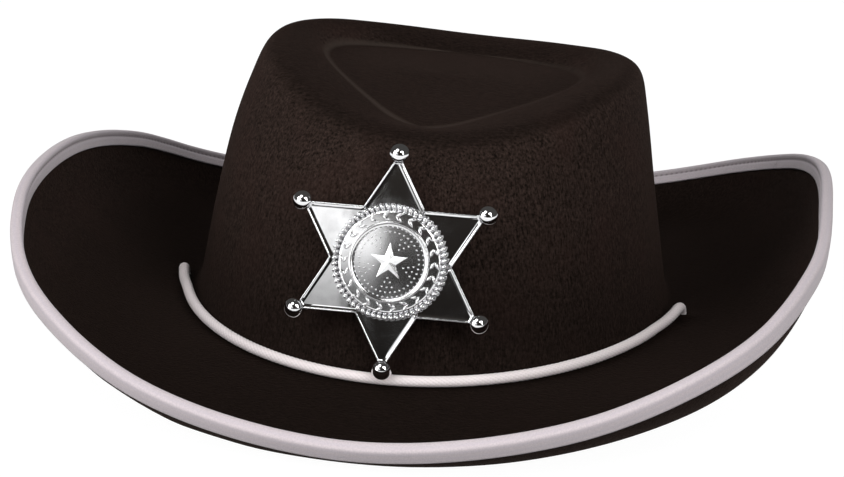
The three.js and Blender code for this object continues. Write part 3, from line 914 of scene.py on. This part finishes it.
def make_floor():
    size = 8
    floor = rectangle("floor", size, size)
    material, _, shader = node_tree("floor")
    shader.inputs["Base Color"].default_value = (0.1, 0.1, 0.1, 1)
    shader.inputs["Roughness"].default_value = 0.9
    shader.inputs["Specular IOR Level"].default_value = 0.1
    shader.inputs["Emission Color"].default_value = (1, 1, 1, 1)
    shader.inputs["Emission Strength"].default_value = 0.97
    floor.data.materials.append(material)
    floor.visible_diffuse = False


def glowing(name, colour):
    """A material that only glows, and the node that gives its colour."""
    material = bpy.data.materials.new(name)
    material.use_nodes = True
    tree = material.node_tree
    tree.nodes.clear()
    glow = add_node(tree, "ShaderNodeEmission", {"Color": colour, "Strength": 1.0})
    out = tree.nodes.new("ShaderNodeOutputMaterial")
    tree.links.new(glow.outputs[0], out.inputs["Surface"])
    return material, glow


def glowing_sphere(name, radius, colour):
    """A glowing sphere round everything, which casts no light on the felt."""
    solid = bmesh.new()
    bmesh.ops.create_icosphere(solid, subdivisions=3, radius=radius)
    mesh = bpy.data.meshes.new(name)
    solid.to_mesh(mesh)
    sphere = new_object(name, mesh)
    mesh.materials.append(glowing(name, colour)[0])
    sphere.visible_diffuse = False
    sphere.visible_shadow = False
    return sphere


def make_backdrop():
    """A white surround for the background, which the chrome and the felt don't see."""
    backdrop = glowing_sphere("backdrop", 9, (1, 1, 1, 1))
    backdrop.visible_glossy = False


def make_dark_room():
    """The dim room that the chrome mirrors between the lights."""
    room = glowing_sphere("dark_room", 8.5, (0.06, 0.058, 0.056, 1))
    room.visible_camera = False


def direction(azimuth, elevation):
    """A direction out from the hat, in degrees from the front toward the viewer's right."""
    turn, rise = math.radians(azimuth), math.radians(elevation)
    level = math.cos(rise)
    return Vector((math.sin(turn) * level, -math.cos(turn) * level, math.sin(rise)))


def facing_back(toward, place):
    turn = toward.to_track_quat("Z", "Y").to_matrix().to_4x4()
    return Matrix.Translation(place) @ turn


def make_card(name, azimuth, elevation, distance, size, colours):
    """A card that only the chrome sees, graded from its foot to its head."""
    toward = direction(azimuth, elevation)
    half_width, half_height = size[0] / 2, size[1] / 2
    card = rectangle(name, half_width, half_height)
    card.matrix_world = facing_back(toward, toward * distance)
    material, glow = glowing(name, (0, 0, 0, 1))
    tree = material.node_tree
    upward = ranged(tree, object_axes(tree)["Y"], -half_height, half_height)
    feed(tree, glow.inputs["Color"], mixed(tree, upward, *colours))
    card.data.materials.append(material)
    card.visible_camera = False
    card.visible_diffuse = False
    card.visible_shadow = False


def make_softbox(name, azimuth, elevation, distance, size, power):
    """A soft light that faces the hat."""
    toward = direction(azimuth, elevation)
    data = bpy.data.lights.new(name, "AREA")
    data.shape = "RECTANGLE"
    data.size, data.size_y = size
    data.energy = power
    light = bpy.data.objects.new(name, data)
    aim = Vector((0, 0, 50 * MM))
    light.matrix_world = facing_back(toward, aim + toward * distance)
    light.visible_camera = False
    scene.collection.objects.link(light)


def make_studio():
    make_floor()
    make_backdrop()
    make_dark_room()
    black, brown = (0.004, 0.004, 0.004, 1), (0.03, 0.026, 0.023, 1)
    grey, white = (0.02, 0.02, 0.02, 1), (1.7, 1.7, 1.7, 1)
    make_card("dark_card", 16.5, 14, 1.5, (1.6, 1.0), [black, brown])
    make_card("light_card", -25.5, 13.7, 1.45, (0.74, 0.4), [grey, white])
    make_softbox("softbox_left", -46, 18, 1.6, (0.9, 1.1), 13.5)
    make_softbox("softbox_right", 36, 26, 1.6, (0.8, 1.1), 14)
    make_softbox("softbox_high", -30, 52, 1.6, (0.6, 0.6), 5)
    world = bpy.data.worlds.new("world")
    world.use_nodes = True
    background = world.node_tree.nodes["Background"]
    background.inputs["Color"].default_value = (1, 1, 1, 1)
    background.inputs["Strength"].default_value = 0.24
    scene.world = world
    scene.view_settings.view_transform = "Standard"


make_camera()

cord_finish = cord_material()
front_cord = braided_cord("front_cord", laid_down(cord_path("front_cord")))
dress(front_cord, "front_cord", cord_finish)
chin_path = cord_path("chin_loop")
chin_loop = braided_cord("chin_loop", chin_path)
dress(chin_loop, "chin_loop", cord_finish)

dress(felt_body(), "hat_body", felt_material())
dress(tape_binding(), "brim_binding", tape_material())

chrome = chrome_material("chrome", 0.04, 0.12)
dress(badge_star(), "badge_star", chrome)
cast_chrome = chrome_material("cast_chrome", 0.13, 0.2)
dress(badge_medallion(), "badge_medallion", cast_chrome)
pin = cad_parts["badge_pin"]
pin.data.materials.clear()
pin.data.materials.append(chrome)

make_studio()
